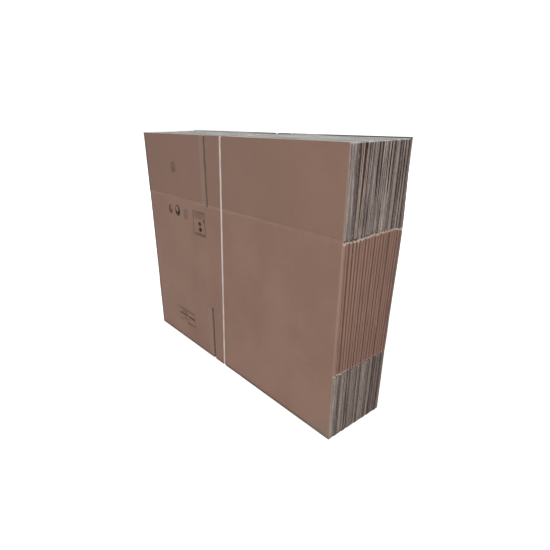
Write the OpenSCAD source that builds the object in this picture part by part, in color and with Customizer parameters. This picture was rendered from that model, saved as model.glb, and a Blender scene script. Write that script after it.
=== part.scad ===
// Bundle of slotted shipping boxes, folded flat and held together by one strap.
// Each box is a single blank of fluted board: four panels with a flap above and below
// each, folded flat at two of its corner creases and closed by a glued lap joint.
// The flattened boxes stand on their bottom flap edges, one behind another.
// X runs along the panels, Y through the stack from front to back, and Z up the flaps.
// The origin is the middle of the stack's footprint.

/* [Box] */
// Inside length of an erected box, along its two long panels
box_length = 410; // [250:5:600]
// Inside width of an erected box, along its two short panels
box_width = 295; // [200:5:450]
// Inside height of an erected box, between its closed flaps
box_height = 265; // [120:5:400]

/* [Board] */
// Thickness of the single-wall fluted board
board_t = 3.85; // [3.5:0.05:5]
// Slit between the two layers of a flattened box
layer_gap = 0.3; // [0.2:0.05:0.8]
// How far the board bulges out past the crease line where it is folded double
fold_bulge = 2.3; // [1.5:0.1:4]
// Outer radius of a folded edge
fold_radius = 3.2; // [1.5:0.1:3.4]
// Thickness of the squeezed board at a folded edge
fold_wall = 2.6; // [1.5:0.1:4]

/* [Flap slots] */
// Width of the slot cut between neighbouring flaps
slot_w = 8; // [4:0.5:10]
// How far a slot runs past the flap crease into the panel
slot_overrun = 1.5; // [0.5:0.25:4]
// How far the flaps' side edges stand back from a folded edge
fold_setback = 1.2; // [0.6:0.1:1.4]
// How far the slots at a folded edge run past the flap crease
fold_overrun = 4.5; // [4:0.5:8]

/* [Creases] */
// How far the flap creases sit below their even places, which lengthens the top flaps
crease_drop = 3; // [0:0.5:5]
// Width of the pressed line at the foot of each flap
flap_crease_w = 6; // [4:0.5:12]
// Depth of the pressed line at the foot of each flap
flap_crease_depth = 0.5; // [0.2:0.05:0.8]
// Width of the pressed line down the corner that lies open on the front layer
corner_crease_w = 5; // [3:0.5:8]
// Depth of that corner line
corner_crease_depth = 0.3; // [0.1:0.05:0.6]

/* [Lap joint] */
// How far the glue tab reaches under the last panel
tab_w = 35; // [25:1:50]
// Thickness of the glue tab once it is pressed flat
tab_t = 1.4; // [0.8:0.1:2]
// How far the ends of the tab are set back from the flap creases
tab_inset = 6; // [3:0.5:12]
// Height over which each end of the tab tapers
tab_taper = 12; // [5:1:20]
// Room in the pressed board around the tab
tab_clearance = 1; // [0.5:0.1:2]
// Open seam between the first and the last panel
seam_w = 2.5; // [1:0.1:4]

/* [Bundle] */
// Number of boxes in the bundle
box_count = 20; // [5:1:40]
// Gap between neighbouring boxes in the bundle
box_gap = 0.15; // [0.1:0.05:0.5]
// Most that a box sits to the left or right of the middle of the bundle
box_shuffle = 1.2; // [0:0.1:3]
// Turn of the repeating sideways pattern from one box to the next, in degrees
shuffle_turn = 137.5; // [90:0.5:180]

/* [Strap] */
// Width of the strap
strap_w = 6; // [5:0.5:16]
// Thickness of the strap
strap_t = 0.6; // [0.4:0.05:0.8]
// Where the strap crosses the top edges, right of the middle
strap_top_x = 8.5; // [-30:0.5:30]
// Where the strap crosses the bottom edges, right of the middle
strap_bottom_x = -12.8; // [-30:0.1:30]
// How deep the tight strap presses into the front and back boards
strap_press = 0.3; // [0.2:0.05:0.6]
// How deep the tight strap crushes the top and bottom board edges
strap_bite = 1.2; // [1.2:0.1:3]
// Radius of the crushed board corner that the strap bends around
strap_bend = 3; // [3:0.5:8]
// Clearance between the strap and the board under it
strap_clearance = 0.1; // [0.05:0.05:0.1]
// Clearance at each side of the strap where it lies in the board
strap_side_clearance = 0.4; // [0.2:0.1:1]
// Length of the welded overlap of the strap's two ends
weld_length = 25; // [15:1:40]
// Height of the middle of the weld on the back of the bundle
weld_z = 300; // [200:5:320]

/* [Hidden] */
$fn = 48;
function box_name(i) = str(i < 10 ? "carton_0" : "carton_", i);

cut_over = 1; // how far a cutting shape runs past the surface that it cuts

// The blank is laid out from the box: a panel is its inside size plus one board, the
// body between the flap creases gains two, and the outer flaps meet at half the width.
panel_l = box_length + board_t;
panel_w = box_width + board_t;
body_h = box_height + 2 * board_t;
flap_h = box_width / 2 + board_t / 2;
blank_h = body_h + 2 * flap_h;
low_crease_z = flap_h - crease_drop;
high_crease_z = low_crease_z + body_h;
low_ledge_z = low_crease_z + fold_overrun;
high_ledge_z = high_crease_z - fold_overrun;

// The front layer is a short panel then a long one. The back layer is a long panel from
// the left fold and a short one from the right fold, which meet at the seam.
flat_w = panel_l + panel_w + 2 * fold_bulge;
flat_t = 2 * board_t + layer_gap;
left_x = -flat_w / 2;
corner_x = left_x + fold_bulge + panel_w;
seam_x = left_x + fold_bulge + panel_l;
flap_side_x = flat_w / 2 - fold_setback;
back_layer_y = board_t + layer_gap;
slit_middle_y = board_t + layer_gap / 2;

box_pitch = flat_t + box_gap;
bundle_d = box_count * box_pitch - box_gap;
function box_x(i) = box_shuffle * sin(shuffle_turn * i);
function box_y(i) = (i - 1) * box_pitch - bundle_d / 2;

// The strap's loop is flat but leans, because it crosses the top and the bottom edges at
// different places. Its seat is the loop's inner side, pressed into the boards.
strap_lean = atan((strap_top_x - strap_bottom_x) / blank_h);
strap_middle_x = (strap_top_x + strap_bottom_x) / 2;
seat_d = bundle_d - 2 * strap_press;
seat_h = (blank_h - 2 * strap_bite) / cos(strap_lean);

module rounded_rectangle(width, height, radius) {
    union() {
        square([width - 2 * radius, height], center = true);
        square([width, height - 2 * radius], center = true);
        for (x = [-1, 1], y = [-1, 1])
            translate([x * (width / 2 - radius), y * (height / 2 - radius)])
                circle(r = radius);
    }
}

// The body seen from above: two layers of board joined by a rounded fold at each side,
// with a thin slit between them.
module folded_section() {
    translate([0, flat_t / 2])
        difference() {
            rounded_rectangle(flat_w, flat_t, fold_radius);
            square([flat_w - 2 * fold_wall, layer_gap], center = true);
        }
}

// The body between the two rows of slots at its folded edges.
module folded_body() {
    translate([0, 0, low_ledge_z])
        linear_extrude(high_ledge_z - low_ledge_z)
            folded_section();
}

// Both layers of flaps, whose square side edges stand back from the folds.
module flap_layers(from_z, to_z) {
    for (y = [0, back_layer_y])
        translate([-flap_side_x, y, from_z])
            cube([2 * flap_side_x, board_t, to_z - from_z]);
}

// Draws its children, which hang down from a crease, at the crease of the bottom flaps
// and the other way up at the crease of the top flaps.
module at_flap_creases() {
    translate([0, 0, low_crease_z])
        children();
    translate([0, 0, high_crease_z])
        mirror([0, 0, 1])
            children();
}

// A slot with a round inner end, through one layer, from y_from back by depth.
module flap_slot(x, y_from, depth) {
    round_z = slot_overrun - slot_w / 2;
    length = flap_h + crease_drop + cut_over;
    translate([x - slot_w / 2, y_from, -length])
        cube([slot_w, depth, length + round_z]);
    translate([x, y_from, round_z])
        rotate([-90, 0, 0])
            cylinder(d = slot_w, h = depth);
}

module open_slots() {
    at_flap_creases() {
        flap_slot(corner_x, -cut_over, slit_middle_y + cut_over);
        flap_slot(seam_x, slit_middle_y, flat_t - slit_middle_y + cut_over);
    }
}

// Radius of the round tool that presses a line of the given width and depth.
function crease_radius(width, depth) = (width * width / 4 + depth * depth) / (2 * depth);

module flap_creases() {
    radius = crease_radius(flap_crease_w, flap_crease_depth);
    stand_off = radius - flap_crease_depth;
    length = 2 * (flap_side_x + cut_over);
    at_flap_creases()
        for (y = [-stand_off, flat_t + stand_off])
            translate([-length / 2, y, 0])
                rotate([0, 90, 0])
                    cylinder(r = radius, h = length, $fn = 96);
}

module corner_crease() {
    radius = crease_radius(corner_crease_w, corner_crease_depth);
    translate([corner_x, corner_crease_depth - radius, low_crease_z])
        cylinder(r = radius, h = body_h, $fn = 96);
}

// The tab's outline with its slanted ends, taller in depth than the pocket it is left in.
module tab_block() {
    low = low_crease_z + tab_inset;
    high = high_crease_z - tab_inset;
    translate([seam_x, back_layer_y + tab_t + cut_over, 0])
        rotate([90, 0, 0])
            linear_extrude(tab_t + 2 * cut_over)
                polygon([
                    [-seam_w, low],
                    [tab_w, low + tab_taper],
                    [tab_w, high - tab_taper],
                    [-seam_w, high]
                ]);
}

// The joint: the last panel's margin is pressed thinner over the tab, and the seam
// between the two panel edges is open down to the tab.
module lap_joint_cut() {
    translate([seam_x - seam_w / 2, back_layer_y + tab_t, low_crease_z])
        cube([seam_w, board_t, body_h]);
    difference() {
        translate([seam_x - seam_w / 2, slit_middle_y, low_crease_z])
            cube([seam_w / 2 + tab_w + tab_clearance,
                  back_layer_y + tab_t - slit_middle_y, body_h]);
        tab_block();
    }
}

module flat_box() {
    difference() {
        union() {
            folded_body();
            flap_layers(0, low_ledge_z);
            flap_layers(high_ledge_z, blank_h);
        }
        open_slots();
        flap_creases();
        corner_crease();
        lap_joint_cut();
    }
}

// Lays an outline drawn in depth and height into the strap's leaning plane, as a band
// of the given width.
module strap_band(width) {
    translate([strap_middle_x, 0, blank_h / 2])
        rotate([0, strap_lean, 0])
            rotate([90, 0, 90])
                translate([0, 0, -width / 2])
                    linear_extrude(width)
                        children();
}

// The strap's loop, grown outwards from its seat on the boards.
module seat_outline(grow) {
    rounded_rectangle(seat_d + 2 * grow, seat_h + 2 * grow, strap_bend + grow);
}

// What the tight strap has crushed: everything outside its seat.
module strap_groove() {
    strap_band(strap_w + 2 * strap_side_clearance)
        difference() {
            square([bundle_d + 4 * strap_bite, seat_h + 4 * strap_bite + 4 * cut_over], center = true);
            seat_outline(0);
        }
}

module carton(i) {
    color("rosybrown")
        difference() {
            translate([box_x(i), box_y(i), 0])
                flat_box();
            strap_groove();
        }
}

module strap() {
    weld_middle = weld_z - blank_h / 2;
    color("ghostwhite")
        strap_band(strap_w)
            union() {
                difference() {
                    seat_outline(strap_clearance + strap_t);
                    seat_outline(strap_clearance);
                }
                translate([seat_d / 2 + strap_clearance, weld_middle - weld_length / 2])
                    square([2 * strap_t, weld_length]);
            }
}

for (i = [1:box_count])
    carton(i);
strap();
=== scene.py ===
import math
import random
import bmesh
import bpy
from mathutils import Matrix, Vector


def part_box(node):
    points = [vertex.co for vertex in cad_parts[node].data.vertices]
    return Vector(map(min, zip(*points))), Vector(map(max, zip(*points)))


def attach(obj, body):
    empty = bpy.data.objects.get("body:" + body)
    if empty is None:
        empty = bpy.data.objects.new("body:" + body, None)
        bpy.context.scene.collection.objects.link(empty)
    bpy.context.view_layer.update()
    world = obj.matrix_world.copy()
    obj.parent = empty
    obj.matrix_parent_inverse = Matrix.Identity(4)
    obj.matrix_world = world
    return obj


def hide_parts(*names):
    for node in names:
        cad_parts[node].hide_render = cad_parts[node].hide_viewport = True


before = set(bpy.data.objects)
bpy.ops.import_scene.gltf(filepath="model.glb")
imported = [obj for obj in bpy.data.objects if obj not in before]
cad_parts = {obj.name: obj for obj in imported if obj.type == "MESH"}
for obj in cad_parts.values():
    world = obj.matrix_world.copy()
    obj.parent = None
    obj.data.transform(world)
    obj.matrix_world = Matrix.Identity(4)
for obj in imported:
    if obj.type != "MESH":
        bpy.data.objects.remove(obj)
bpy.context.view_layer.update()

# The outer facing: smooth brown kraft paper glued over the fluting. On a flattened box it
# runs right round both layers, through a rounded fold at each side. It is scored where the
# flaps and the corners fold, and the slots between the flaps are punched through it.
mm = 0.001
box_low, box_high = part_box("carton_02")
flat_w = box_high[0] - box_low[0]
flat_t = box_high[1] - box_low[1]
blank_h = box_high[2] - box_low[2]
stack_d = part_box("carton_20")[1][1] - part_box("carton_01")[0][1]
short_panel = 298.85 * mm
long_panel = 413.85 * mm
body_h = 272.7 * mm
fold_bulge = (flat_w - short_panel - long_panel) / 2
fold_radius = 3.2 * mm
fold_setback = 1.2 * mm
facing_t = 0.45 * mm
slot_w = 8 * mm
slot_overrun = 1.5 * mm
fold_overrun = 4.5 * mm
flute_pitch = 7.95 * mm

right_edge = flat_w / 2
flap_side_x = right_edge - fold_setback
corner_x = fold_bulge + short_panel - right_edge
seam_x = fold_bulge + long_panel - right_edge
middle_y = flat_t / 2
low_crease = 146.425 * mm
high_crease = low_crease + body_h
low_slot_end = low_crease + slot_overrun
high_slot_end = high_crease - slot_overrun
low_ledge = low_crease + fold_overrun
high_ledge = high_crease - fold_overrun

# How deep each line is pressed, at these places across it.
flap_score = {-3 * mm: 0, -1.5 * mm: 0.18 * mm, 0: 0.32 * mm, 1.5 * mm: 0.18 * mm, 3 * mm: 0}
corner_score = {-2.5 * mm: 0, -1.2 * mm: 0.1 * mm, 0: 0.18 * mm, 1.2 * mm: 0.1 * mm, 2.5 * mm: 0}

# How far punches run past the board, and how near a corner has to be to count as in place.
past = 10 * mm
near = 0.2 * mm


def only(*pieces):
    """Selects these pieces and nothing else, with the first one active."""
    bpy.ops.object.select_all(action="DESELECT")
    for piece in pieces:
        piece.select_set(True)
    bpy.context.view_layer.objects.active = pieces[0]


def shape(piece):
    """Opens a piece for work on its corners, edges and faces."""
    only(piece)
    bpy.ops.object.mode_set(mode="EDIT")


def done():
    bpy.ops.object.mode_set(mode="OBJECT")


def pick(kind, test):
    """Selects the corners, edges or faces of the open piece whose place passes the test."""
    bpy.ops.mesh.select_mode(type=kind)
    bpy.ops.mesh.select_all(action="DESELECT")
    mesh = bmesh.from_edit_mesh(bpy.context.object.data)
    if kind == "VERT":
        for corner in mesh.verts:
            corner.select_set(test(corner.co))
    if kind == "EDGE":
        for edge in mesh.edges:
            first, last = edge.verts[0].co, edge.verts[1].co
            edge.select_set(test((first + last) / 2, last - first))
    if kind == "FACE":
        for face in mesh.faces:
            face.select_set(test(face.calc_center_median(), face.normal))
    mesh.select_flush_mode()
    bmesh.update_edit_mesh(bpy.context.object.data)


def everywhere(middle, normal):
    return True


def end_face(middle, normal):
    """Whether a face closes the top or the bottom of a piece."""
    return abs(normal.z) > 0.9


def cut(axis, places, test=everywhere):
    """Cuts the faces that pass the test straight across an axis, at each of the places."""
    direction = [1.0 if name == axis else 0.0 for name in "XYZ"]
    for place in places:
        pick("FACE", test)
        bpy.ops.mesh.bisect(plane_co=[place * part for part in direction], plane_no=direction)


def shift(test, move):
    """Moves the corners of the open piece that pass the test."""
    pick("VERT", test)
    bpy.ops.transform.translate(value=move)


def block(name, low, high):
    """A plain block between two corners, as stock to shape or as a punch."""
    bpy.ops.object.select_all(action="DESELECT")
    middle = [(a + b) / 2 for a, b in zip(low, high)]
    size = [b - a for a, b in zip(low, high)]
    bpy.ops.mesh.primitive_cube_add(size=1, location=middle, scale=size)
    bpy.context.object.name = name
    bpy.ops.object.transform_apply(location=True, rotation=False, scale=True)
    return bpy.context.object


def modify(piece, kind, **settings):
    """Adds one modifier to a piece and applies it."""
    only(piece)
    bpy.ops.object.modifier_add(type=kind)
    modifier = piece.modifiers[-1]
    for name, value in settings.items():
        setattr(modifier, name, value)
    bpy.ops.object.modifier_apply(modifier=modifier.name)


def join(name, *pieces):
    """Joins pieces into one mesh, under one name."""
    only(*pieces)
    bpy.ops.object.join()
    bpy.context.object.name = name
    return bpy.context.object


class Wire:
    """A number or colour on its way through a material. Sums of wires add Math nodes."""

    def __init__(self, nodes, socket):
        self.nodes = nodes
        self.socket = socket

    def __add__(self, other):
        return self.nodes.maths("ADD", self, other)

    def __radd__(self, other):
        return self.nodes.maths("ADD", other, self)

    def __sub__(self, other):
        return self.nodes.maths("SUBTRACT", self, other)

    def __rsub__(self, other):
        return self.nodes.maths("SUBTRACT", other, self)

    def __mul__(self, other):
        return self.nodes.maths("MULTIPLY", self, other)

    def __rmul__(self, other):
        return self.nodes.maths("MULTIPLY", other, self)

    def __abs__(self):
        return self.nodes.maths("ABSOLUTE", self)

    def __or__(self, other):
        return self.nodes.maths("MAXIMUM", self, other)

    def wave(self, pitch):
        """Swings between one and minus one as the value runs on, once in each pitch."""
        return self.nodes.maths("COSINE", self * (2 * math.pi / pitch))

    def below(self, edge, blur):
        """One where the value lies under the edge and none above it, over a soft step."""
        smooth = {"interpolation_type": "SMOOTHSTEP"}
        ends = {"From Min": edge - blur / 2, "From Max": edge + blur / 2, "To Min": 1, "To Max": 0}
        return self.nodes.node("ShaderNodeMapRange", smooth, {"Value": self, **ends})

    def above(self, edge, blur):
        """One where the value lies over the edge and none below it, over a soft step."""
        return 1 - self.below(edge, blur)


class Nodes:
    """The nodes of one material, or of the world round the bundle."""

    def __init__(self, tree):
        self.tree = tree

    def node(self, kind, settings, inputs, output=0):
        """Adds a node of this kind, with its settings and inputs, and gives one output."""
        node = self.tree.nodes.new(kind)
        for name, value in settings.items():
            setattr(node, name, value)
        for name, value in inputs.items():
            self.plug(node.inputs[name], value)
        return Wire(self, node.outputs[output])

    def plug(self, socket, value):
        """Links a wire to a socket, or sets the socket to a plain value."""
        if isinstance(value, Wire):
            self.tree.links.new(value.socket, socket)
        else:
            socket.default_value = value

    def maths(self, operation, *values):
        return self.node("ShaderNodeMath", {"operation": operation}, dict(enumerate(values)))


class Finish(Nodes):
    """One material of the bundle, built round its shader."""

    def __init__(self, name, roughness):
        self.material = bpy.data.materials.new(name)
        self.material.use_nodes = True
        super().__init__(self.material.node_tree)
        self.shader = self.tree.nodes["Principled BSDF"]
        self.shader.inputs["Roughness"].default_value = roughness
        self.shader.inputs["Specular IOR Level"].default_value = 0.2
        self.spot = self.node("ShaderNodeTexCoord", {}, {}, output="Object")
        axes = self.node("ShaderNodeSeparateXYZ", {}, {"Vector": self.spot}).socket.node
        self.x, self.y, self.z = [Wire(self, axes.outputs[name]) for name in "XYZ"]

    def grain(self, stretch, detail):
        """Soft noise, with about this many grains to the metre along each axis."""
        stretched = self.node("ShaderNodeMapping", {}, {"Vector": self.spot, "Scale": stretch})
        return self.node("ShaderNodeTexNoise", {}, {"Vector": stretched, "Scale": 1.0, "Detail": detail})

    def written(self, name):
        """A number that is written on the mesh itself."""
        return self.node("ShaderNodeAttribute", {"attribute_name": name}, {}, output="Fac")

    def blend(self, share, first, last):
        """Runs from the first colour to the last as the share goes from none to one."""
        return self.node("ShaderNodeMix", {"data_type": "RGBA"}, {0: share, 6: first, 7: last}, output=2)

    def painted_top_light_and_shade(self, shade):
        """Returns the shade with painted light along the top rims of the bundle, and painted shade on the
        last box's top rim.
        """
        rim = (blank_h - self.z).below(1.8 * mm, 1.2 * mm) * (self.y + stack_d / 2).above(0.7 * mm, 0.4 * mm)
        last = (self.y - abs(self.x) * 0.01).above(stack_d / 2 - 8.4 * mm, 0.5 * mm)
        patch = self.grain((11, 150, 11), 3.0)
        # The pale grey is a painted highlight where the top rims catch the lamp; the dark grey on the last
        # box is painted shade.
        pale = self.blend(patch.below(0.5, 0.3), tint(219, 220, 216), tint(174, 172, 168))
        return self.blend(rim * 0.85, shade, self.blend(last, pale, tint(88, 90, 88)))

    def coat(self, colour, height, depth):
        """Gives the shader its colour, and a relief this deep from a height of none to one."""
        relief = self.node("ShaderNodeBump", {}, {"Height": height, "Distance": depth})
        self.plug(self.shader.inputs["Base Color"], colour)
        self.plug(self.shader.inputs["Normal"], relief)
        return self.material


def tint(*screen):
    """A colour as 0 to 255 on a screen, turned into the linear numbers that a shader uses."""
    shares = [part / 255 for part in screen]
    linear = [((s + 0.055) / 1.055) ** 2.4 if s > 0.04045 else s / 12.92 for s in shares]
    return (*linear, 1.0)


def kraft_paper(name):
    """Kraft paper before any print: long fibres, cloudy shade, faint lines over the flutes.
    A fold has a painted highlight along its middle and painted shade at its foot, and is darker towards
    the back and the floor. Paper is torn and pale at the ledges, partly as painted light, and painted
    shade lies in the slits between the boxes."""
    kraft = Finish(name, 0.8)
    tone = kraft.written("tone")
    bend = kraft.written("bend")
    torn = kraft.written("torn")
    cloud = kraft.grain((9, 9, 7), 3.0)
    fibre = kraft.grain((150, 400, 1300), 3.0)
    fleck = kraft.grain((700, 700, 1500), 1.0)
    streak = kraft.grain((60, 140, 16), 2.0)
    tear = kraft.grain((90, 210, 130), 2.0)
    shade = kraft.blend(cloud.below(0.5, 0.4), tint(147, 117, 103), tint(138, 108, 95))
    shade = kraft.blend(fibre.below(0.45, 0.4) * 0.4, shade, tint(127, 98, 86))
    shade = kraft.blend(fleck.below(0.34, 0.08) * 0.3, shade, tint(104, 80, 71))

    folded = bend.above(0.03, 0.02)
    to_back = kraft.y.above(0, stack_d)
    to_floor = kraft.z.below(0.25, 0.25)
    last_box = kraft.y.above(stack_d / 2 - 5 * mm, 4 * mm)
    shade = kraft.blend(tone * folded * 0.35, shade, tint(160, 125, 108))
    shade = kraft.blend(to_back * folded * 0.5, shade, tint(110, 81, 70))
    shade = kraft.blend(to_floor * folded * 0.25, shade, tint(98, 70, 58))
    shade = kraft.blend(last_box * folded * 0.4, shade, tint(92, 82, 74))
    # Dark brown at the foot of each fold: painted shade in the grooves between the boxes.
    fold_foot = bend.above(0.04, 0.06) * bend.below(0.7, 0.3)
    between_boxes = abs(kraft.y).below(stack_d / 2 - fold_radius, mm)
    shade = kraft.blend(fold_foot * between_boxes * 0.6, shade, tint(84, 53, 43))
    # A pale streaky line along each fold's crown: a painted highlight where the rounded fold faces the lamp.
    fold_highlight = bend.above(0.9, 0.15) * streak.above(0.45, 0.2)
    shade = kraft.blend(fold_highlight * 0.25, shade, tint(170, 136, 120))

    # The pale at the fold ends is torn paper and also painted light for the lit tops of the ledges. The low
    # ledges behind the first boxes get little of it.
    little_on_low_ledges = kraft.z.below(blank_h / 2, mm) * kraft.y.above(-45 * mm, 20 * mm)
    torn_and_lit_edge = (torn + tear * 1.4).above(1.2, 0.3)
    shade = kraft.blend(torn_and_lit_edge * (0.9 - little_on_low_ledges * 0.7), shade, tint(194, 175, 160))
    inner_face = abs(kraft.y).below(stack_d / 2 - mm, 0.6 * mm) * (1 - folded)
    # Painted shade: dark brown on the inner faces near the flaps' side edges, in the slits between the
    # boards.
    gap_shade = abs(kraft.x).above(flap_side_x - 14 * mm, 10 * mm) * inner_face
    shade = kraft.blend(gap_shade * 0.8, shade, tint(80, 50, 42))
    relief = fibre * 0.25 + kraft.x.wave(flute_pitch) * 0.12 + cloud * 0.4
    return kraft, kraft.painted_top_light_and_shade(shade), relief


def raw_paper():
    """The raw grey paper that shows where the board is cut, lighter or darker board by board,
    and painted dark brown on the darkest ones, as painted shade beside the gaps. Knife marks and
    crushed fibres run along the cuts. It is darker below the low crease, more so towards the back,
    and at the floor, and the slots' walls are painted paler, as painted light."""
    raw = Finish("cut_board", 0.9)
    fuzz = raw.grain((900, 900, 420), 3.0)
    streak = raw.grain((300, 330, 14), 3.0)
    patch = raw.grain((60, 90, 25), 2.0)
    tone = raw.written("tone")
    shade = raw.blend(tone, tint(142, 131, 130), tint(232, 220, 212))
    # Boards with a tone of none are painted dark brown: painted shade that deepens the dark lines between the
    # boards.
    shade = raw.blend(tone.below(0.015, 0.02) * 0.75, shade, tint(84, 56, 47))
    shade = raw.blend(patch.below(0.46, 0.2) * 0.45, shade, tint(110, 98, 101))
    shade = raw.blend(streak.below(0.43, 0.12) * 0.6, shade, tint(78, 56, 49))
    shade = raw.blend(fuzz.below(0.46, 0.2) * 0.4, shade, tint(206, 200, 194))
    # Darker below the low crease, more so towards the back, and at the floor.
    soiled = raw.z.below(low_crease, 20 * mm) * (raw.y.above(0, stack_d) * 0.3 + 0.1)
    at_floor = raw.z.below(5 * mm, 7 * mm) * 0.6
    shade = raw.blend(soiled | at_floor, shade, tint(74, 56, 50))
    # Painted light: the slots' walls are made paler, as if lit by the lamp on the right.
    slot_wall_light = abs(abs(raw.x) - abs(corner_x)).below(slot_w, mm)
    shade = raw.blend(slot_wall_light * 0.8, shade, tint(206, 172, 152))
    return raw.coat(raw.painted_top_light_and_shade(shade), fuzz, 0.3 * mm)


kraft, kraft_shade, kraft_relief = kraft_paper("kraft_facing")
kraft_facing = kraft.coat(kraft_shade, kraft_relief, 0.12 * mm)
cut_board = raw_paper()

facing = block("outer_facing", (-right_edge, 0, 0), (right_edge, flat_t, blank_h))
facing.data.materials.append(kraft_facing)
facing.data.materials.append(cut_board)
shape(facing)
pick("EDGE", lambda middle, along: abs(along.z) > blank_h / 2)
bpy.ops.mesh.bevel(offset=fold_radius, segments=4, affect="EDGES")
pick("FACE", end_face)
bpy.ops.mesh.delete(type="FACE")

# Rows and columns of corners for the scored lines, the fanned ends and the waves and the
# torn ends of the folds.
for crease in (low_crease, high_crease):
    cut("Z", [crease + offset for offset in flap_score])
fan_from = right_edge / 3
fan_columns = [fan_from + (flap_side_x - fan_from) * share for share in (0, 0.2, 0.4, 0.6, 0.8, 0.98, 1)]
cut("X", fan_columns + [-column for column in fan_columns])
fold_rows = [low_ledge + (high_ledge - low_ledge) * share for share in (0.15, 0.3, 0.5, 0.7, 0.85)]
torn_rows = [low_ledge + 6 * mm, high_ledge - 6 * mm]
ledge_rows = [low_ledge - mm, low_ledge, high_ledge, high_ledge + mm]
cut(
    "Z",
    fold_rows + torn_rows + ledge_rows,
    lambda middle, normal: abs(middle.x) > right_edge - fold_radius,
)

# Above and below the ledges the fold comes away, and the flaps' side edges are left square.
pick("FACE", lambda middle, normal: abs(middle.x) > flap_side_x and not low_ledge < middle.z < high_ledge)
bpy.ops.mesh.delete(type="FACE")
for side in (0, flat_t):
    pick(
        "VERT",
        lambda spot: not low_ledge - near < spot.z < high_ledge + near
        and abs(spot.x) > right_edge - fold_radius
        and abs(spot.y - side) < middle_y,
    )
    bpy.ops.transform.resize(value=(1, 0, 1), center_override=(0, side, 0))

# The lines are pressed in: both flap creases, and the corner that lies open on the front.
cut(
    "X",
    [corner_x + offset for offset in corner_score],
    lambda middle, normal: middle.y < near and low_crease < middle.z < high_crease,
)
for crease in (low_crease, high_crease):
    for offset, depth in flap_score.items():
        for side, inward in ((0, depth), (flat_t, -depth)):
            shift(
                lambda spot: abs(spot.z - crease - offset) < near
                and abs(spot.x) < flap_side_x + near
                and abs(spot.y - side) < near,
                (0, inward, 0),
            )
for offset, depth in corner_score.items():
    shift(
        lambda spot: abs(spot.x - corner_x - offset) < near / 2
        and low_crease + near < spot.z < high_crease - near
        and spot.y < fold_radius,
        (0, depth, 0),
    )
done()

# The paper's look follows how far round a fold it lies, and where it is torn.
bend = facing.data.attributes.new("bend", "FLOAT", "POINT")
torn = facing.data.attributes.new("torn", "FLOAT", "POINT")
for corner in facing.data.vertices:
    bend.data[corner.index].value = max(0, (abs(corner.co.x) - right_edge) / fold_radius + 1)
    at_ledge = min(abs(corner.co.z - low_ledge), abs(corner.co.z - high_ledge)) < near
    torn.data[corner.index].value = float(at_ledge and abs(corner.co.x) > flap_side_x - mm)
modify(facing, "SOLIDIFY", thickness=facing_t, offset=-1, material_offset=1, material_offset_rim=1)


def slot_punch(x, low_y, high_y, end_z, outer_z):
    """The punch for one flap slot: a bar that ends round in the crease."""
    ends = sorted((end_z, outer_z))
    bar = block("punch", (x - slot_w / 2, low_y, ends[0]), (x + slot_w / 2, high_y, ends[1]))
    shape(bar)
    pick("EDGE", lambda middle, along: abs(along.y) > near and abs(middle.z - end_z) < near)
    bpy.ops.mesh.bevel(offset=slot_w * 0.48, segments=5, affect="EDGES")
    done()
    return bar


punches = []
for end_z, outer_z in ((low_slot_end, -past), (high_slot_end, blank_h + past)):
    punches.append(slot_punch(corner_x, -past, middle_y, end_z, outer_z))
    punches.append(slot_punch(seam_x, middle_y, flat_t + past, end_z, outer_z))
slots_punch = join("slots_punch", *punches)
slots_punch.data.materials.append(cut_board)
modify(facing, "BOOLEAN", operation="DIFFERENCE", object=slots_punch, material_mode="TRANSFER")

# The inner facing: a second sheet of the same kraft, glued to the inside of the fluting. On
# a flattened box the two layers lie with their inner facings against each other.
layer_gap = 0.3 * mm
board_t = (flat_t - layer_gap) / 2
fold_wall = 2.6 * mm
lining_x = right_edge - fold_wall


def inner_paper(name, light, dark):
    """The rougher paper inside a box, which the open flutes, the slots and the slit show."""
    inner = Finish(name, 0.9)
    fibre = inner.grain((500, 500, 90), 3.0)
    return inner.coat(inner.painted_top_light_and_shade(inner.blend(fibre.below(0.5, 0.4), light, dark)), fibre, 0.1 * mm)


# The inner facing is painted much darker than the kraft outside: painted shade for the shadow inside the
# slots and the slit.
lining = block("inner_facing", (-lining_x, board_t, 0), (lining_x, board_t + layer_gap, blank_h))
lining.data.materials.append(inner_paper("shaded_inner_kraft", tint(80, 57, 48), tint(66, 46, 39)))
lining.data.materials.append(cut_board)
shape(lining)
pick("FACE", end_face)
bpy.ops.mesh.delete(type="FACE")
cut("Z", ledge_rows)
pick("FACE", lambda middle, normal: abs(normal.x) > 0.9 and not low_ledge < middle.z < high_ledge)
bpy.ops.mesh.delete(type="FACE")
for side in (-1, 1):
    shift(
        lambda spot: side * spot.x > 0 and not low_ledge - near < spot.z < high_ledge + near,
        (side * (flap_side_x - lining_x), 0, 0),
    )
cut("Z", [low_crease, high_crease])
cut("X", fan_columns[:-1] + [-column for column in fan_columns[:-1]])
done()
modify(lining, "SOLIDIFY", thickness=facing_t, offset=1, material_offset_rim=1)
modify(lining, "BOOLEAN", operation="DIFFERENCE", object=slots_punch, material_mode="TRANSFER")

# The fluting: one sheet of soft paper, corrugated between the two facings. Its flutes run
# up the box, so they show end on along the top and bottom edges of the flaps.
flute_rise = 1.35 * mm
flute_t = 0.25 * mm
front_flutes_y = facing_t + flute_t / 2 + flute_rise
back_flutes_y = flat_t - front_flutes_y
flute_radius = ((flute_pitch / 4) ** 2 + flute_rise**2) / (2 * flute_rise)
flute_turn = 2 * math.asin(flute_pitch / 4 / flute_radius)
flute_count = math.ceil(2 * flap_side_x / flute_pitch) + 2
flute_start = -flap_side_x - flute_pitch

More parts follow.
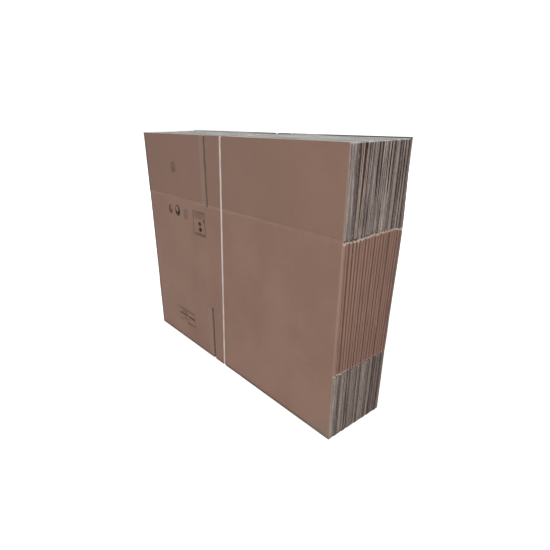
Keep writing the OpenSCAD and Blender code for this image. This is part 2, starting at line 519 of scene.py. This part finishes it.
fluting = block("fluting", (flute_start, 0, 0), (flute_start + mm, mm, blank_h))
fluting.data.materials.append(inner_paper("flute_paper", tint(158, 146, 134), tint(136, 124, 113)))
fluting.data.materials.append(cut_board)
shape(fluting)
pick("VERT", lambda spot: spot.x > flute_start + near or spot.y > near)
bpy.ops.mesh.delete(type="VERT")
bpy.ops.mesh.select_all(action="SELECT")
crest = (flute_start + flute_pitch / 4, flute_radius - flute_rise, 0)
trough = (flute_start + 3 * flute_pitch / 4, flute_rise - flute_radius, 0)
bpy.ops.mesh.spin(steps=4, angle=-flute_turn, center=crest, axis=(0, 0, 1))
bpy.ops.mesh.spin(steps=4, angle=flute_turn, center=trough, axis=(0, 0, 1))
done()
modify(
    fluting,
    "ARRAY",
    count=flute_count,
    use_relative_offset=False,
    use_constant_offset=True,
    constant_offset_displace=(flute_pitch, 0, 0),
    use_merge_vertices=True,
    merge_threshold=0.01 * mm,
)
shape(fluting)
cut("Z", [low_slot_end, high_slot_end])
done()

# The folds: where the blank is folded double the fluting is crushed into a solid strip
# between the two facings, and its torn ends show as pale ledges at the slots.
core_w = 4.5 * mm
core_x = right_edge - core_w
fold_cores = []
for side in (-1, 1):
    ends = sorted((side * core_x, side * (right_edge - facing_t)))
    core = block("fold_core", (ends[0], facing_t, low_ledge), (ends[1], flat_t - facing_t, high_ledge))
    core.data.materials.append(kraft_facing)
    core.data.materials.append(cut_board)
    shape(core)
    pick("EDGE", lambda middle, along: abs(along.z) > past and abs(middle.x) > right_edge - mm)
    bpy.ops.mesh.bevel(offset=fold_radius - facing_t, segments=4, affect="EDGES")
    cut("Z", fold_rows)
    core.active_material_index = 1
    pick("FACE", end_face)
    bpy.ops.object.material_slot_assign()
    done()
    fold_cores.append(core)
fold_core = join("fold_core", *fold_cores)
cavity = block(
    "cavity",
    (-lining_x - facing_t, board_t - facing_t, -past),
    (lining_x + facing_t, board_t + layer_gap + facing_t, blank_h + past),
)
modify(fold_core, "BOOLEAN", operation="DIFFERENCE", object=cavity)

# The lap joint: a glue tab on the end of the long panel, pressed thin, runs in under the
# margin of the short panel, whose fluting is pressed flat over it. A seam stays open.
tab_w = 35 * mm
tab_t = 1.4 * mm
tab_inset = 6 * mm
tab_taper = 12 * mm
seam_w = 2.5 * mm
tab_clearance = mm
tab_low_y = board_t + layer_gap
tab_high_y = tab_low_y + tab_t
lap_low_x = seam_x - seam_w / 2
lap_high_x = seam_x + tab_w + tab_clearance
margin_x = seam_x + seam_w / 2


def tidy_corners(piece):
    """Closes the hairline cracks that a punch leaves where it meets a cut row."""
    shape(piece)
    bpy.ops.mesh.select_all(action="SELECT")
    bpy.ops.mesh.remove_doubles(threshold=0.02 * mm)
    bpy.ops.mesh.dissolve_degenerate(threshold=0.01 * mm)
    done()


def discard(*pieces):
    """Takes stock or a punch away once it has been used."""
    for piece in pieces:
        bpy.data.meshes.remove(piece.data)


tab = block(
    "glue_tab",
    (lap_low_x, tab_low_y, low_crease + tab_inset),
    (seam_x + tab_w, tab_high_y, high_crease - tab_inset),
)
tab.data.materials.append(kraft_facing)
shape(tab)
shift(lambda spot: spot.x > seam_x + near and spot.z < blank_h / 2, (0, 0, tab_taper))
shift(lambda spot: spot.x > seam_x + near and spot.z > blank_h / 2, (0, 0, -tab_taper))
done()
margin = block("lap_margin", (margin_x, tab_high_y, low_crease), (lap_high_x, flat_t - facing_t, high_crease))
margin.data.materials.append(cut_board)
lap_joint = join("lap_joint", tab, margin)

lap_low = (lap_low_x, middle_y, low_crease)
seam_punch = block("seam_punch", lap_low, (margin_x, flat_t + past, high_crease))
pocket_punch = block("pocket_punch", lap_low, (lap_high_x, tab_high_y, high_crease))
for sheet, punch in ((facing, seam_punch), (lining, pocket_punch)):
    punch.data.materials.append(cut_board)
    modify(sheet, "BOOLEAN", operation="DIFFERENCE", object=punch, material_mode="TRANSFER")
    tidy_corners(sheet)
discard(slots_punch, cavity, seam_punch, pocket_punch)

# The boxes: each blank is folded flat and glued, then stood on its bottom flap edges with
# the rest, and the stack is knocked square, which takes up most of the boxes' sideways play.
# No two lie alike: flaps lean, folds bulge and the cut edges differ in shade.
box_count = 20
layer_count = 2 * box_count
box_gap = 0.15 * mm
least_gap = 0.02 * mm
knocked_square = 0.4
rng = random.Random(7)

# The strap bites into the flap edges and presses the outer boards in, fully within its reach
# of its middle line and half as deep beside that. The boards are cut at shares of that reach.
# At the strap's bends an outer board thins down to these shares of its own thickness, at
# these depths behind the crushed edge.
strap_top_x = 8.5 * mm
strap_bottom_x = -12.8 * mm
strap_lean = math.atan2(strap_top_x - strap_bottom_x, blank_h)
strap_across = Vector((math.cos(strap_lean), 0, -math.sin(strap_lean)))
strap_reach = 3.5 * mm
strap_margin = 1.4 * strap_reach
reach_cuts = (-2.2, -1.2, -0.97, 0.97, 1.2, 2.2)
strap_bite = 1.3 * mm
strap_press = 0.3 * mm
bend_rows = {0: 0.15, 0.5 * mm: 0.62, mm: 0.78, 2 * mm: 0.95}


def from_strap(spot):
    """How far a place lies to the right of the middle line of the leaning strap."""
    return (spot - Vector((strap_top_x, 0, blank_h))).dot(strap_across)


def copy(piece, name):
    """A further copy of a piece, with a mesh of its own."""
    only(piece)
    bpy.ops.object.duplicate(linked=False)
    bpy.context.object.name = name
    return bpy.context.object


def place(piece, move):
    """Moves a whole piece, and leaves its origin where it was."""
    shape(piece)
    bpy.ops.mesh.select_all(action="SELECT")
    bpy.ops.transform.translate(value=move)
    done()


def spread_tips(wide_gaps):
    """How far each layer's flap leans back at its edge, from gaps that use the same slack."""
    even = [layer_gap if k % 2 == 0 else box_gap for k in range(layer_count - 1)]
    chosen = [wide_gaps[k] * mm if k in wide_gaps else None for k in range(layer_count - 1)]
    shares = [0 if wide else rng.random() ** 2 for wide in chosen]
    spare = sum(even) - sum(wide for wide in chosen if wide) - least_gap * chosen.count(None)
    tips = [0.0]
    for wide, share, usual in zip(chosen, shares, even):
        gap = wide or least_gap + spare * share / sum(shares)
        tips.append(tips[-1] + gap - usual)
    return tips


def clear(low, high, on_flaps):
    """Cuts the open fluting away between two places, all down its flaps or its body."""

    def there(middle, normal):
        return (abs(middle.z - blank_h / 2) > blank_h / 4) == on_flaps

    cut("X", [low, high], there)
    pick("FACE", lambda middle, normal: low < middle.x < high and there(middle, normal))
    bpy.ops.mesh.delete(type="FACE")


def flute_layer(layer_y, slot_x, lap, at):
    """One layer's fluting, trimmed to the flaps and cut out at the slots and the joint."""
    layer = copy(fluting, "flute_layer")
    place(layer, (at[0] + rng.uniform(0, flute_pitch), at[1] + layer_y, at[2]))
    shape(layer)
    for side in (-1, 1):
        bpy.ops.mesh.select_all(action="SELECT")
        edge = at[0] + side * flap_side_x
        bpy.ops.mesh.bisect(plane_co=(edge, 0, 0), plane_no=(side, 0, 0), clear_outer=True)
    clear(at[0] + slot_x - slot_w / 2, at[0] + slot_x + slot_w / 2, True)
    clear(at[0] + core_x, at[0] + right_edge, False)
    clear(at[0] - right_edge, at[0] - core_x, False)
    if lap:
        clear(at[0] + lap_low_x, at[0] + lap_high_x, False)
    done()
    modify(layer, "SOLIDIFY", thickness=flute_t, offset=0, material_offset_rim=1)
    return layer


def bulge_fold(side, centre_x, raised):
    """Gives one fold of the open piece its bulge, its waves and its two torn ends."""

    def on_fold(spot):
        return side * (spot.x - centre_x) > flap_side_x + near

    bulge = rng.uniform(-0.8, 0.4) * mm
    shift(on_fold, (side * bulge, 0, 0))
    for row in fold_rows:
        wave = rng.uniform(-0.3, 0.3) * mm
        shift(lambda spot: on_fold(spot) and abs(spot.z - row) < near, (side * wave, 0, 0))
    for rows, lift in (((low_ledge, torn_rows[0]), 0), ((high_ledge, torn_rows[1]), raised)):
        ragged = rng.uniform(-1.2, 0.9) * mm + lift
        for row in rows:
            shift(lambda spot: on_fold(spot) and abs(spot.z - row) < near, (0, 0, ragged))


def cut_for_strap(outer_y, inward):
    """Cuts the open piece along the strap, and an outermost board across at the strap's bends."""

    def outside(middle):
        return inward and inward * (middle.y - outer_y) < mm

    for share in reach_cuts:
        point = Vector((strap_top_x, 0, blank_h)) + strap_across * share * strap_reach
        pick(
            "FACE",
            lambda middle, normal: outside(middle)
            or not low_crease - 3 * mm < middle.z < high_crease + 3 * mm,
        )
        bpy.ops.mesh.bisect(plane_co=point, plane_no=strap_across)
    if inward:
        rows = [depth + strap_bite for depth in bend_rows if depth]
        cut(
            "Z",
            rows + [blank_h - row for row in rows],
            lambda middle, normal: outside(middle) and abs(from_strap(middle)) < reach_cuts[-1] * strap_reach,
        )


def press(test, move):
    """Moves the corners under the strap that pass the test, and half as far those beside it."""
    for low, high, share in ((0, strap_reach, 1), (strap_reach, strap_margin, 0.5)):
        shift(
            lambda spot: test(spot) and low <= abs(from_strap(spot)) < high,
            [part * share for part in move],
        )


def crush_under_strap():
    """Presses the flap edges of the open piece down where the strap crosses them."""
    for end_z, down in ((blank_h, -strap_bite), (0, strap_bite)):
        press(lambda spot: abs(spot.z - end_z) < near, (0, 0, down))


def round_for_strap(outer_y, inward):
    """Presses the outermost board of the open piece in under the strap, and round its bends."""
    inner_y = outer_y + inward * board_t
    press(lambda spot: inward * (spot.y - outer_y) < mm, (0, inward * strap_press, 0))
    for end_z, toward in ((blank_h, -1), (0, 1)):
        for depth, share in bend_rows.items():
            row = end_z + toward * (strap_bite + depth)
            pick(
                "VERT",
                lambda spot: abs(spot.z - row) < near / 2
                and abs(from_strap(spot)) < strap_reach
                and inward * (spot.y - inner_y) < near / 10,
            )
            bpy.ops.transform.resize(value=(1, share, 1), center_override=(0, inner_y, 0))


def lean_flaps(half_y, layers):
    """Raises or lowers the top rims of the open piece's two layers, and leans their flaps."""
    for layer, nearer in layers:
        shift(
            lambda spot: abs(spot.z - blank_h) < near
            and (spot.y < half_y) == nearer
            and abs(from_strap(spot)) > 2 * strap_reach,
            (0, 0, rims[layer]),
        )
    for crease, end_z, tips, up in ((high_crease, blank_h, top_tips, 1), (low_crease, 0, bottom_tips, -1)):
        for layer, nearer in layers:
            pick("VERT", lambda spot: up * (spot.z - crease) > mm and (spot.y < half_y) == nearer)
            bpy.ops.transform.rotate(
                value=up * math.atan2(tips[layer], abs(end_z - crease)),
                orient_axis="X",
                center_override=(0, half_y, crease),
            )


# Dark gaps, in millimetres, stand open behind these layers of flaps. Some layers have a
# chosen tone; a tone of none paints a board's cut edges dark brown, as painted shade that
# deepens the dark lines at the gaps. The last box's two rims stand up out of the stack.
top_tips = spread_tips({5: 3.6, 7: 2.5, 17: 0.8, 18: 0.7})
bottom_tips = spread_tips({3: 0.6, 5: 0.6, 12: 0.6, 26: 0.4, 33: 0.4})
tones = [rng.uniform(0, 0.7) for layer in range(layer_count)]
tones[0:8] = [0.9, 0.75, 0.4, 0.5, 0.5, 0, 1.0, 0]
tones[9] = 0.6
tones[17:19] = [0, 1.0]
tones[27] = 0
tones[31:33] = [0, 0.9]
rims = [rng.uniform(-0.3, 0.3) * mm for layer in range(layer_count - 2)] + [1.2 * mm, 1.6 * mm]

# The stack is tight at its strap and looser at its folded ends, so the boxes fan out there
# towards the back. This cage carries each box back: most at its high creases, not at all
# at its foot.
fan_gaps = [0.15 + rng.random() ** 2 for number in range(box_count - 1)]
fan_gaps[2], fan_gaps[3], fan_gaps[8] = 5.0, 3.4, 1.6
fan_right = 8 * mm
fan_left = 3 * mm
bpy.ops.object.select_all(action="DESELECT")
crease_span = high_crease - low_crease
bpy.ops.object.add(type="LATTICE", location=(0, 0, high_crease))
cage = bpy.context.object
cage.scale = (2 * right_edge, 1, 2 * crease_span)
cage.data.points_u = 4
cage.data.points_v = 1
cage.data.points_w = 3
cage.data.interpolation_type_u = "KEY_LINEAR"
cage.data.interpolation_type_v = "KEY_LINEAR"
cage.data.interpolation_type_w = "KEY_LINEAR"


def fan_out(right_end, left_end):
    """Sets how far back the cage carries the two ends of a box, foot, crease and rim."""
    for column, end in ((0, left_end), (3, right_end)):
        for row, share in ((1, 1.0), (2, 0.5)):
            corner = cage.data.points[column + 4 * row]
            corner.co_deform = corner.co + Vector((0, end * share, 0))


# The top right corners of the outermost boards are knocked in. The high ledges of the boxes
# in the far half of the stack stand a little higher on the right than the others.
dents = {1: (-1.2 * mm, 0.6 * mm, -2.4 * mm), box_count: (-2.4 * mm, -0.8 * mm, -2.4 * mm)}
raised_ledge = 3 * mm
raised_boxes = range(9, 19)
cartons = []
for number in range(1, box_count + 1):
    node = f"carton_{number:02d}"
    low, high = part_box(node)
    at = ((low[0] + high[0]) / 2 * knocked_square, low[1], low[2])
    half_y = at[1] + middle_y
    front, back = 2 * number - 2, 2 * number - 1
    outer_y, inward = {1: (at[1], 1), box_count: (at[1] + flat_t, -1)}.get(number, (None, 0))

    skins = join("skins", *[copy(sheet, "skin") for sheet in (facing, lining, fold_core, lap_joint)])
    place(skins, at)
    shape(skins)
    cut_for_strap(outer_y, inward)
    bulge_fold(-1, at[0], 0)
    bulge_fold(1, at[0], raised_ledge if number in raised_boxes else 0)
    done()
    front_flutes = flute_layer(front_flutes_y, corner_x, False, at)
    back_flutes = flute_layer(back_flutes_y, seam_x, True, at)
    carton = join(f"flat_box_{number:02d}", skins, front_flutes, back_flutes)

    tone = carton.data.attributes.new("tone", "FLOAT", "FACE")
    for face in carton.data.polygons:
        tone.data[face.index].value = tones[front if face.center.y < half_y else back]
    shape(carton)
    crush_under_strap()
    if inward:
        round_for_strap(outer_y, inward)
    lean_flaps(half_y, ((front, True), (back, False)))
    if number in dents:
        shift(
            lambda spot: spot.x > at[0] + flap_side_x - mm
            and spot.z > blank_h - mm
            and inward * (spot.y - outer_y) < board_t,
            dents[number],
        )
    done()
    fanned = sum(fan_gaps[: number - 1]) / sum(fan_gaps)
    fan_out(fan_right * fanned, fan_left * fanned)
    modify(carton, "LATTICE", object=cage)
    modify(carton, "TRIANGULATE")
    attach(carton, "root")
    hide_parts(node)
    cartons.append(carton)
discard(facing, lining, fluting, fold_core, lap_joint)
bpy.data.lattices.remove(cage.data)

# The print: shipping marks in thin dark ink on the short panel of the front box, worn off
# in places. Four round marks, a framed mark and a ruled table, all without words. The same
# front has painted shade on its flap and upper left and at its slot's ends, painted highlights
# at its crease and right edge, and is darker along its left edge and its foot.
ink_low_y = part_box("carton_01")[0][1] + mm
printed, printed_shade, printed_relief = kraft_paper("printed_facing")


def slab(x, z, half_x, half_z):
    """A filled oblong of ink round this place, in millimetres."""
    across = abs(printed.x - x * mm).below(half_x * mm, 0.8 * mm)
    upward = abs(printed.z - z * mm).below(half_z * mm, 0.8 * mm)
    return across * upward


def outline(x, z, half_x, half_z, line):
    """The four lines of an oblong."""
    return slab(x, z, half_x, half_z) * (1 - slab(x, z, half_x - line, half_z - line))


def disc(x, z, radius, slim=1.2):
    """A round spot of ink, this much taller than wide."""
    off_x, off_z = (printed.x - x * mm) * slim, printed.z - z * mm
    return printed.maths("SQRT", off_x * off_x + off_z * off_z).below(radius * mm, 1.6 * mm)


ring = disc(-202, 383.5, 14.5) * (1 - disc(-204, 387.5, 7.5))
faint_rounds = disc(-240, 382, 12) * (1 - disc(-235, 386, 5) * 0.7) * 0.65 + disc(-160, 380, 14) * 0.3
top_round = disc(-207, 493, 13) * (1 - disc(-206, 495, 6) * 0.6) * 0.4
framed = outline(-98, 367, 28, 30, 3) * 0.55
hatching = slab(-97, 386, 22, 8) * (printed.x + printed.z).wave(9 * mm).above(0.1, 0.5) * 0.6
spots = disc(-95, 366, 5.2, 0.75) | disc(-93, 352.5, 5.2, 0.7) | disc(-76, 376, 5, 0.9) * 0.7
base_bar = slab(-92, 339.5, 22, 4) * 0.4
ruled = outline(-202, 76, 49, 20, 2.4) * 0.3 | slab(-196, 94, 38, 2.6) * 0.5 | slab(-206, 85, 16, 2.4) * 0.5
ruled = ruled | slab(-196, 77, 41, 2.8) * 0.8 | slab(-202, 66, 14, 2.6) * 0.5
ruled = ruled | slab(-174, 54, 23, 2.6) * 0.5 | slab(-229, 57, 6, 2.8) * 0.45
worn = printed.grain((90, 90, 70), 3.0).below(0.64, 0.3)
ink = (ring | faint_rounds | top_round | framed | hatching | spots | base_bar | ruled) * worn

on_front = printed.y.below(ink_low_y, mm)
# Painted shade: the upper left of the front and its flap, which leans back from the light, are darker.
upper_left = printed.x.below(0.1, 0.9) * printed.z.above(0.25, 0.6)
upper_and_flap_shade = upper_left * 0.5 + printed.z.above(high_crease, 4 * mm) * 0.35
# Painted highlights: a pale streaky band under the high crease and a pale band along the right edge.
crease_foot = abs(printed.z - high_crease + 3 * mm).below(3 * mm, 4 * mm)
crease_and_edge_highlight = crease_foot * printed.grain((14, 14, 90), 2.0).above(0.45, 0.2) * 0.15
crease_and_edge_highlight = crease_and_edge_highlight | printed.x.above(right_edge - 4 * mm, 3 * mm) * 0.25
soil = printed.x.below(9 * mm - right_edge, 9 * mm) | printed.z.below(6.5 * mm, 5 * mm)
# Painted shade: dark spots in the round ends of the slot.
slot_end_x = corner_x / mm + 1
slot_end_shade = disc(slot_end_x, high_slot_end / mm - 1, 3.4, 0.8)
slot_end_shade = slot_end_shade | disc(slot_end_x, low_slot_end / mm + 1, 3.8, 0.8)
low_corner = (printed.x * 0.6 - printed.z).above(right_edge * 0.6 - 42 * mm, 34 * mm)
on_flap = abs(printed.z - (low_crease + high_crease) / 2).above(crease_span / 2, 6 * mm)
beside_slot = abs(printed.x - corner_x + 12 * mm).below(8 * mm, 6 * mm) * on_flap
for mask, colour in (
    (upper_and_flap_shade, tint(126, 99, 87)),
    (crease_and_edge_highlight, tint(170, 146, 131)),
    (ink, tint(34, 20, 16)),
    (soil * 0.6 | slot_end_shade * 0.8, tint(78, 66, 58)),
    (low_corner * 0.4, tint(128, 114, 103)),
    (beside_slot * 0.35, tint(140, 124, 113)),
):
    printed_shade = printed.blend(mask * on_front, printed_shade, colour)
cartons[0].data.materials[0] = printed.coat(printed_shade, printed_relief, 0.12 * mm)

# The strap: one band of white embossed plastic, pulled tight round the middle of the bundle
# a little askew. Its two ends lie one over the other on the back, and are welded there.
strap_w = 6 * mm
strap_t = 0.6 * mm
strap_edge = 0.14 * mm
strap_clearance = 0.1 * mm
strap_sunk = 1.2 * mm
strap_bend = 3 * mm
weld_length = 25 * mm
weld_z = 300 * mm
strap_x = (strap_top_x + strap_bottom_x) / 2
centre_z = blank_h / 2
loop_y = stack_d / 2 - strap_press + strap_clearance
loop_z = (blank_h / 2 - strap_sunk) / math.cos(strap_lean) + strap_clearance
turn_radius = strap_bend + strap_clearance
turn_y = loop_y - turn_radius
low_turn_z = centre_z - loop_z + turn_radius
high_turn_z = centre_z + loop_z - turn_radius


def white_plastic():
    """White strapping with a fine embossed lattice, a little soiled."""
    plastic = Finish("white_strap", 0.42)
    plastic.shader.inputs["Specular IOR Level"].default_value = 0.45
    soil = plastic.grain((120, 120, 30), 3.0)
    emboss_pitch = 1.1 * mm
    lattice = (plastic.x + plastic.z).wave(emboss_pitch) + (plastic.x - plastic.z).wave(emboss_pitch)
    shade = plastic.blend(soil.below(0.48, 0.3), tint(204, 188, 180), tint(180, 162, 154))
    return plastic.coat(shade, lattice * 0.25 + 0.5, 0.05 * mm)


def draw_out(*move):
    """Carries the open end of the strap straight on."""
    bpy.ops.mesh.extrude_region_move(TRANSFORM_OT_translate={"value": move})


def turn_over(y, z):
    """Carries the open end of the strap round one bend."""
    bpy.ops.mesh.spin(steps=8, angle=math.pi / 2, center=(0, y, z), axis=(1, 0, 0))


strap = block(
    "white_strap",
    (strap_x - strap_w / 2, -loop_y - strap_t, low_turn_z),
    (strap_x + strap_w / 2, -loop_y, low_turn_z + mm),
)
strap.data.materials.append(white_plastic())
shape(strap)
pick("EDGE", lambda middle, along: abs(along.z) > near)
bpy.ops.mesh.bevel(offset=strap_edge, segments=2, affect="EDGES")
pick("VERT", lambda spot: spot.z > low_turn_z + near)
bpy.ops.mesh.delete(type="VERT")
bpy.ops.mesh.select_all(action="SELECT")
bpy.ops.mesh.delete(type="ONLY_FACE")

# The section is carried up the front, over the top, down the back and under the bundle.
bpy.ops.mesh.select_mode(type="EDGE")
bpy.ops.mesh.select_all(action="SELECT")
draw_out(0, 0, 2 * (loop_z - turn_radius))
turn_over(-turn_y, high_turn_z)
draw_out(0, 2 * turn_y, 0)
turn_over(turn_y, high_turn_z)
draw_out(0, 0, -2 * (loop_z - turn_radius))
turn_over(turn_y, low_turn_z)
draw_out(0, -2 * turn_y, 0)
turn_over(-turn_y, low_turn_z)
bpy.ops.mesh.select_all(action="SELECT")
bpy.ops.mesh.remove_doubles(threshold=0.02 * mm)
bpy.ops.mesh.normals_make_consistent(inside=False)
done()
weld = block(
    "weld",
    (strap_x - strap_w / 2, loop_y + strap_t, weld_z - weld_length / 2),
    (strap_x + strap_w / 2, loop_y + 2 * strap_t, weld_z + weld_length / 2),
)
modify(weld, "BEVEL", width=strap_edge, segments=2)
strap = join("white_strap", strap, weld)
shape(strap)
bpy.ops.mesh.select_all(action="SELECT")
bpy.ops.transform.rotate(value=-strap_lean, orient_axis="Y", center_override=(strap_x, 0, centre_z))
done()
only(strap)
bpy.ops.object.shade_smooth_by_angle(angle=math.radians(35))
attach(strap, "root")
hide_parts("strap")

# The floor: a plain white studio floor. It carries the bundle's soft shadow, and what the
# camera sees of it is lifted to white.
floor_finish = Finish("studio_floor", 0.95)
floor_finish.shader.inputs["Specular IOR Level"].default_value = 0.0
floor_finish.shader.inputs["Emission Strength"].default_value = 1.0
grit = floor_finish.grain((3, 3, 3), 1.0)
floor_shade = floor_finish.blend(grit, (0.88, 0.88, 0.88, 1.0), (0.86, 0.86, 0.86, 1.0))
paths = floor_finish.node("ShaderNodeLightPath", {}, {}).socket.node.outputs
direct, mirrored, through = [
    Wire(floor_finish, paths[name]) for name in ("Is Camera Ray", "Is Glossy Ray", "Is Transmission Ray")
]
away = floor_finish.maths("SQRT", floor_finish.x * floor_finish.x + floor_finish.y * floor_finish.y)
white = floor_finish.blend(away.below(1.5, 1.8), (0.85, 0.85, 0.85, 1), (0.4, 0.4, 0.4, 1))
lift = floor_finish.blend(direct | mirrored | through, (0, 0, 0, 1), white)
floor_finish.plug(floor_finish.shader.inputs["Base Color"], floor_shade)
floor_finish.plug(floor_finish.shader.inputs["Emission Color"], lift)
bpy.ops.object.select_all(action="DESELECT")
bpy.ops.mesh.primitive_plane_add(size=30, location=(0, 0, -0.1 * mm))
floor = bpy.context.object
floor.name = "studio_floor"
floor.data.materials.append(floor_finish.material)

# The light: a dim white room, a large soft lamp high up off the right front corner, and a
# weaker one off the corner behind, which keeps the back of the bundle from going dark.
world = bpy.data.worlds.new("white_room")
bpy.context.scene.world = world
world.use_nodes = True
sky = world.node_tree.nodes["Background"]
sky.inputs["Color"].default_value = (1, 1, 1, 1)
sky.inputs["Strength"].default_value = 0.36
room = Nodes(world.node_tree)
seen_white = room.node("ShaderNodeBackground", {}, {"Color": (1, 1, 1, 1), "Strength": 1.0})
straight = room.node("ShaderNodeLightPath", {}, {}, output="Is Camera Ray")
mix = room.node("ShaderNodeMixShader", {}, {0: straight, 1: Wire(room, sky.outputs[0]), 2: seen_white})
room.plug(world.node_tree.nodes["World Output"].inputs["Surface"], mix)

lit = Vector((0, 0, 0.3))
for name, stand, size, energy in (
    ("soft_lamp", (2.4, -3, 5), 3.4, 275),
    ("fill_lamp", (-2.8, 3.4, 2), 2.4, 90),
):
    bpy.ops.object.light_add(type="AREA", location=stand)
    lamp = bpy.context.object
    lamp.name = name
    lamp.data.size = size
    lamp.data.energy = energy
    lamp.rotation_euler = (lit - lamp.location).to_track_quat("-Z", "Y").to_euler()

# The camera: a little above the bundle's top, off its right front corner, turned to the left
# and tilted down. Its angles are in radians, and it stands at shares of the bundle's height.
yaw, pitch, roll = -0.8982, 0.4145, -0.0115
forward = Vector((math.sin(yaw) * math.cos(pitch), math.cos(yaw) * math.cos(pitch), -math.sin(pitch)))
level = Vector((math.cos(yaw), -math.sin(yaw), 0))
upward = level.cross(forward)
right = level * math.cos(roll) + upward * math.sin(roll)
above = upward * math.cos(roll) - level * math.sin(roll)
stand = Vector((1.3858 * blank_h, -stack_d / 2 - 0.9331 * blank_h, 1.0662 * blank_h))
bpy.ops.object.camera_add(location=stand)
camera = bpy.context.object
camera.name = "photo_camera"
camera.matrix_world = Matrix(
    (
        (right.x, above.x, -forward.x, stand.x),
        (right.y, above.y, -forward.y, stand.y),
        (right.z, above.z, -forward.z, stand.z),
        (0, 0, 0, 1),
    )
)
camera.data.sensor_width = 36
camera.data.lens = 27.47
camera.data.shift_x = 0.0357
camera.data.shift_y = 0.0466
camera.data.clip_start = 0.01
bpy.context.scene.camera = camera
bpy.context.scene.view_settings.view_transform = "Standard"
